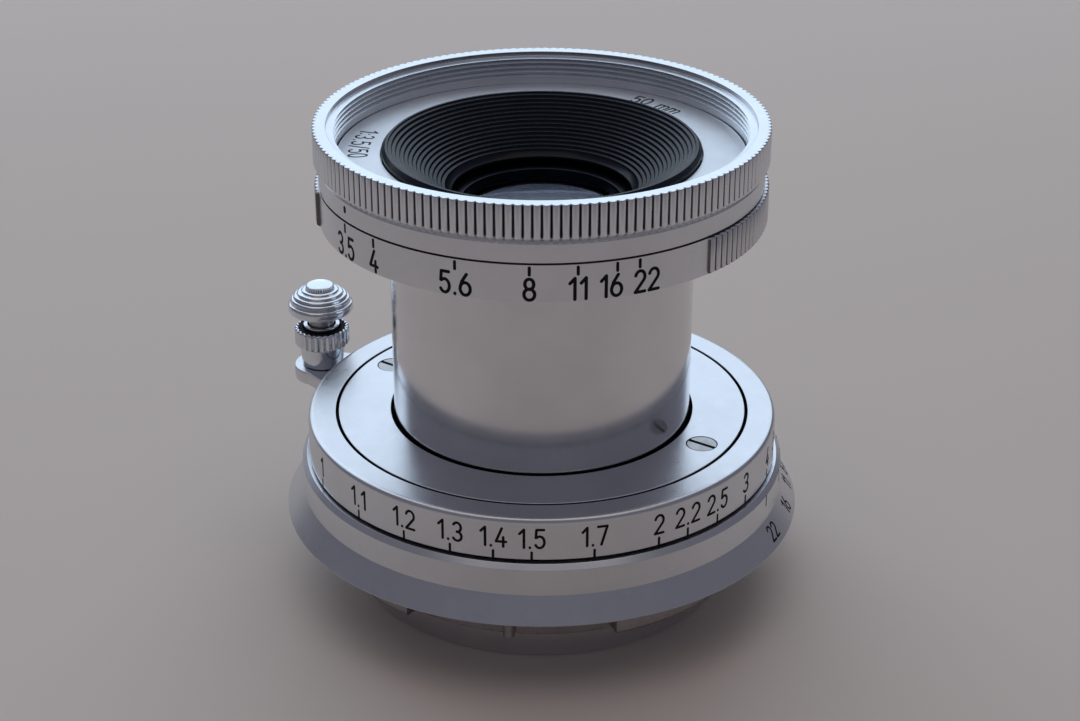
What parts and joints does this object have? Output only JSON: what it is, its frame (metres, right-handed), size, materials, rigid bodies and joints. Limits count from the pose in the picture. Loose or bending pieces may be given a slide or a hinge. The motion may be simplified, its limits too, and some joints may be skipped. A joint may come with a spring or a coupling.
{
  "type": "collapsible camera lens",
  "caption": "Collapsible 50 mm rangefinder camera lens with bayonet mount, infinity-lock knob, sliding tube and iris ring.",
  "frame": {"origin": "on the optical axis at the mounting flange's rear face", "axes": "+Z along the optical axis towards the front of the lens; -Y towards the distance scale at 1.5 m; +X to the right of it"},
  "size_m": [0.0509, 0.05, 0.0464],
  "materials": {
    "satin_chrome": "satin chrome plate on brass",
    "polished_chrome": "bright polished chrome",
    "black_anodised": "black anodised, matt",
    "brass": "machined brass",
    "steel": "machined steel",
    "coated_glass": "single-coated optical glass",
    "blued_steel": "blackened thin steel",
    "index_bead": "glossy red bead"
  },
  "bodies": {
    "mount": {"mount_flange": "satin_chrome", "bayonet_ring": "polished_chrome", "bayonet_screw_1": "steel", "bayonet_screw_2": "steel", "bayonet_screw_3": "steel", "bayonet_screw_4": "steel", "guide_key": "steel", "infinity_catch": "steel", "mount_index_bead": "index_bead"},
    "focus": {"focus_ring": "satin_chrome", "focus_tab": "satin_chrome", "knob_post": "polished_chrome", "knob_collar": "polished_chrome", "lock_spring": "steel"},
    "lock_button": {"lock_cap": "polished_chrome", "lock_plunger": "steel"},
    "carrier": {"helicoid_sleeve": "brass", "cover_disc": "satin_chrome", "cover_screw_1": "steel", "cover_screw_2": "steel", "cam_ring": "polished_chrome"},
    "tube_lock": {"tube_lock_bush": "brass"},
    "lens_tube": {"tube": "polished_chrome", "tube_lug_ring": "brass", "head_body": "satin_chrome", "index_ring": "satin_chrome", "front_rim": "satin_chrome", "name_ring": "satin_chrome", "baffle_cone": "black_anodised", "front_cell": "black_anodised", "front_retainer": "black_anodised", "iris_base_ring": "brass", "element_1_front": "coated_glass", "element_2_negative": "coated_glass", "element_3_negative": "coated_glass", "element_4_rear": "coated_glass", "rear_cell": "black_anodised", "spacer_ring": "black_anodised", "group_retainer": "black_anodised"},
    "aperture": {"aperture_ring": "satin_chrome", "aperture_pin": "steel", "iris_drive_sleeve": "brass"},
    "blade_01": {"iris_blade_01": "blued_steel"},
    "blade_02": {"iris_blade_02": "blued_steel"},
    "blade_03": {"iris_blade_03": "blued_steel"},
    "blade_04": {"iris_blade_04": "blued_steel"},
    "blade_05": {"iris_blade_05": "blued_steel"},
    "blade_06": {"iris_blade_06": "blued_steel"},
    "blade_07": {"iris_blade_07": "blued_steel"},
    "blade_08": {"iris_blade_08": "blued_steel"},
    "blade_09": {"iris_blade_09": "blued_steel"},
    "blade_10": {"iris_blade_10": "blued_steel"}
  },
  "joints": [
    {"name": "focus_turn", "type": "hinge", "parent": "mount", "child": "focus", "pos_m": [0, 0, 0.0075], "axis": [0, 0, 1], "range_deg": [0, 177.9]},
    {"name": "lock_press", "type": "slide", "parent": "focus", "child": "lock_button", "axis": [0, 0, 1], "range_m": [-0.0009, 0], "stiffness_N_per_m": 300, "springref_m": 0.001, "deforming": ["lock_spring"]},
    {"name": "focus_travel", "type": "slide", "parent": "mount", "child": "carrier", "axis": [0, 0, 1], "range_m": [0, 0.00278]},
    {"name": "tube_twist", "type": "hinge", "parent": "carrier", "child": "tube_lock", "pos_m": [0, 0, 0.0068], "axis": [0, 0, 1], "range_deg": [0, 25]},
    {"name": "tube_slide", "type": "slide", "parent": "tube_lock", "child": "lens_tube", "axis": [0, 0, 1], "range_m": [-0.019, 0]},
    {"name": "aperture_turn", "type": "hinge", "parent": "lens_tube", "child": "aperture", "pos_m": [0, 0, 0.0316], "axis": [0, 0, 1], "range_deg": [-81.1, 0]},
    {"name": "blade_01_swing", "type": "hinge", "parent": "lens_tube", "child": "blade_01", "pos_m": [0, -0.0092, 0.0282], "axis": [0, 0, 1], "range_deg": [-36.2, 0]},
    {"name": "blade_02_swing", "type": "hinge", "parent": "lens_tube", "child": "blade_02", "pos_m": [0.00541, -0.00744, 0.0282], "axis": [0, 0, 1], "range_deg": [-36.2, 0]},
    {"name": "blade_03_swing", "type": "hinge", "parent": "lens_tube", "child": "blade_03", "pos_m": [0.00875, -0.00284, 0.0282], "axis": [0, 0, 1], "range_deg": [-36.2, 0]},
    {"name": "blade_04_swing", "type": "hinge", "parent": "lens_tube", "child": "blade_04", "pos_m": [0.00875, 0.00284, 0.0282], "axis": [0, 0, 1], "range_deg": [-36.2, 0]},
    {"name": "blade_05_swing", "type": "hinge", "parent": "lens_tube", "child": "blade_05", "pos_m": [0.00541, 0.00744, 0.0282], "axis": [0, 0, 1], "range_deg": [-36.2, 0]},
    {"name": "blade_06_swing", "type": "hinge", "parent": "lens_tube", "child": "blade_06", "pos_m": [0, 0.0092, 0.0282], "axis": [0, 0, 1], "range_deg": [-36.2, 0]},
    {"name": "blade_07_swing", "type": "hinge", "parent": "lens_tube", "child": "blade_07", "pos_m": [-0.00541, 0.00744, 0.0282], "axis": [0, 0, 1], "range_deg": [-36.2, 0]},
    {"name": "blade_08_swing", "type": "hinge", "parent": "lens_tube", "child": "blade_08", "pos_m": [-0.00875, 0.00284, 0.0282], "axis": [0, 0, 1], "range_deg": [-36.2, 0]},
    {"name": "blade_09_swing", "type": "hinge", "parent": "lens_tube", "child": "blade_09", "pos_m": [-0.00875, -0.00284, 0.0282], "axis": [0, 0, 1], "range_deg": [-36.2, 0]},
    {"name": "blade_10_swing", "type": "hinge", "parent": "lens_tube", "child": "blade_10", "pos_m": [-0.00541, -0.00744, 0.0282], "axis": [0, 0, 1], "range_deg": [-36.2, 0]}
  ],
  "couplings": [
    {"joint": "focus_turn", "follows": "focus_travel", "rad_per_m": 1116.3},
    {"joint": "blade_01_swing", "follows": "aperture_turn", "ratio": 0.4439},
    {"joint": "blade_02_swing", "follows": "aperture_turn", "ratio": 0.4439},
    {"joint": "blade_03_swing", "follows": "aperture_turn", "ratio": 0.4439},
    {"joint": "blade_04_swing", "follows": "aperture_turn", "ratio": 0.4439},
    {"joint": "blade_05_swing", "follows": "aperture_turn", "ratio": 0.4439},
    {"joint": "blade_06_swing", "follows": "aperture_turn", "ratio": 0.4439},
    {"joint": "blade_07_swing", "follows": "aperture_turn", "ratio": 0.4439},
    {"joint": "blade_08_swing", "follows": "aperture_turn", "ratio": 0.4439},
    {"joint": "blade_09_swing", "follows": "aperture_turn", "ratio": 0.4439},
    {"joint": "blade_10_swing", "follows": "aperture_turn", "ratio": 0.4439}
  ]
}
